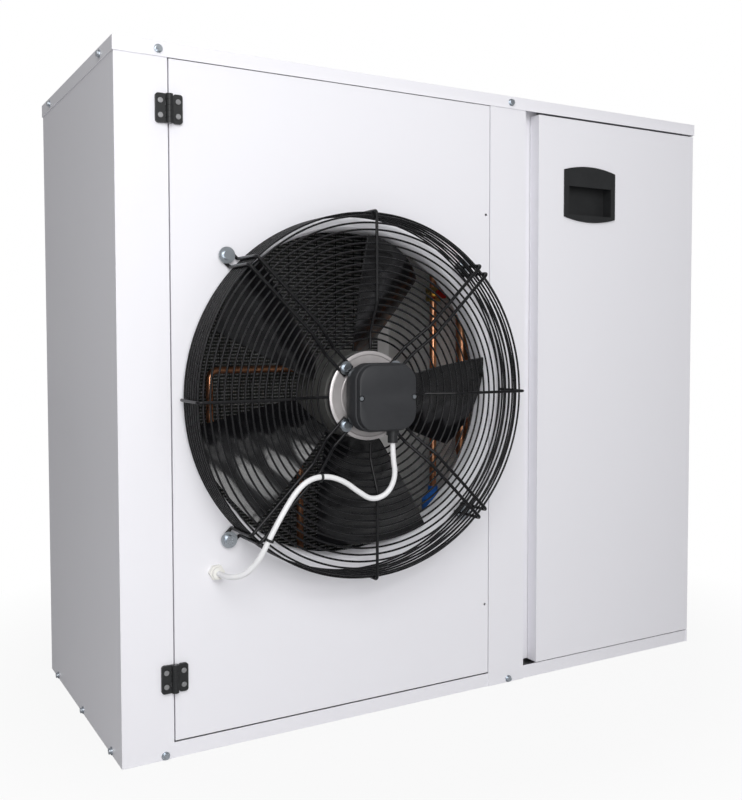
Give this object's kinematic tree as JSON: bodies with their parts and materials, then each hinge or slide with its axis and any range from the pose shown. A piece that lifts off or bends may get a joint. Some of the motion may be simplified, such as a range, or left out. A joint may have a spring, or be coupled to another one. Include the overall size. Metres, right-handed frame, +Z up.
{
  "type": "refrigeration condensing unit",
  "caption": "Free-standing boxed condensing unit: hinged front door carrying an axial fan in a round wire guard, finned coil behind it, and a compressor bay with its own hinged door.",
  "frame": {"origin": "on the floor under the middle of the cabinet, at the centre of the anchor holes", "axes": "+X to the right seen from the front, -Y out of the front doors, +Z up"},
  "size_m": [1.1133, 0.617, 1],
  "materials": {
    "white_paint": "satin powder coat",
    "grey_paint": "satin powder coat",
    "zinc_sheet": "galvanised",
    "black_paint": "semi-gloss powder coat",
    "zinc_steel": "zinc plated",
    "bare_steel": "ground",
    "cast_aluminium": "die cast",
    "fin_aluminium": "fin stock",
    "copper": "drawn copper tube",
    "brass_fitting": "turned",
    "black_plastic": "moulded",
    "blade_black": "painted sheet, glossy",
    "cream_plastic": "moulded",
    "white_cable": "extruded",
    "red_plastic": "moulded",
    "blue_paint": "enamel",
    "dark_rubber": "moulded"
  },
  "bodies": {
    "cabinet": {"base_pan": "white_paint", "left_panel": "white_paint", "right_panel": "white_paint", "centre_post": "white_paint", "top_cover": "white_paint", "top_rail": "zinc_sheet", "rear_panel": "white_paint", "partition": "grey_paint", "cabinet_screws": "zinc_steel", "coil_fins": "fin_aluminium", "tube_sheets": "zinc_sheet", "return_bends": "copper", "rear_guard": "black_paint", "compressor": "black_paint", "rubber_mounts": "dark_rubber", "mount_bolts": "zinc_steel", "compressor_terminal_cover": "black_plastic", "liquid_receiver": "black_paint", "filter_drier": "blue_paint", "discharge_line": "copper", "coil_outlet_line": "copper", "receiver_outlet_line": "copper", "liquid_line": "copper", "suction_line": "copper", "liquid_service_valve": "brass_fitting", "suction_service_valve": "brass_fitting", "pipe_grommets": "dark_rubber", "supply_gland": "black_plastic", "access_tee": "brass_fitting", "access_cap": "red_plastic", "control_box": "zinc_sheet", "control_lid": "zinc_sheet", "control_lid_screws": "zinc_steel", "contactor": "black_plastic", "terminal_strip": "cream_plastic", "hinge_frame_leaves": "black_plastic", "hinge_frame_screws": "bare_steel", "hinge_pins": "bare_steel"},
    "fan_door": {"fan_door_panel": "white_paint", "fan_nozzle": "white_paint", "fan_guard": "black_paint", "foot_screws": "zinc_steel", "foot_washers": "zinc_steel", "motor_stator": "cast_aluminium", "motor_bolts": "zinc_steel", "terminal_box_base": "black_plastic", "terminal_box_lid": "black_plastic", "lid_screws": "zinc_steel", "box_gland": "black_plastic", "door_gland": "cream_plastic", "motor_cable": "white_cable", "cable_ties": "black_plastic", "fan_hinge_door_leaves": "black_plastic", "fan_hinge_door_screws": "bare_steel"},
    "fan_impeller": {"fan_rotor": "black_paint", "fan_blades": "blade_black"},
    "service_door": {"service_door_panel": "white_paint", "door_grip": "black_plastic", "service_hinge_door_leaves": "black_plastic", "service_hinge_door_screws": "bare_steel"}
  },
  "joints": [
    {"name": "fan_door_hinge", "type": "hinge", "parent": "cabinet", "child": "fan_door", "pos_m": [-0.474, -0.2438, 0.5], "axis": [0, 0, -1], "range_deg": [0, 95]},
    {"name": "fan_spin", "type": "hinge", "parent": "fan_door", "child": "fan_impeller", "pos_m": [-0.1885, -0.2385, 0.5085], "axis": [0, -1, 0], "continuous": true},
    {"name": "service_door_hinge", "type": "hinge", "parent": "cabinet", "child": "service_door", "pos_m": [0.5538, -0.2135, 0.5], "axis": [0, 0, 1], "range_deg": [0, 110]}
  ]
}
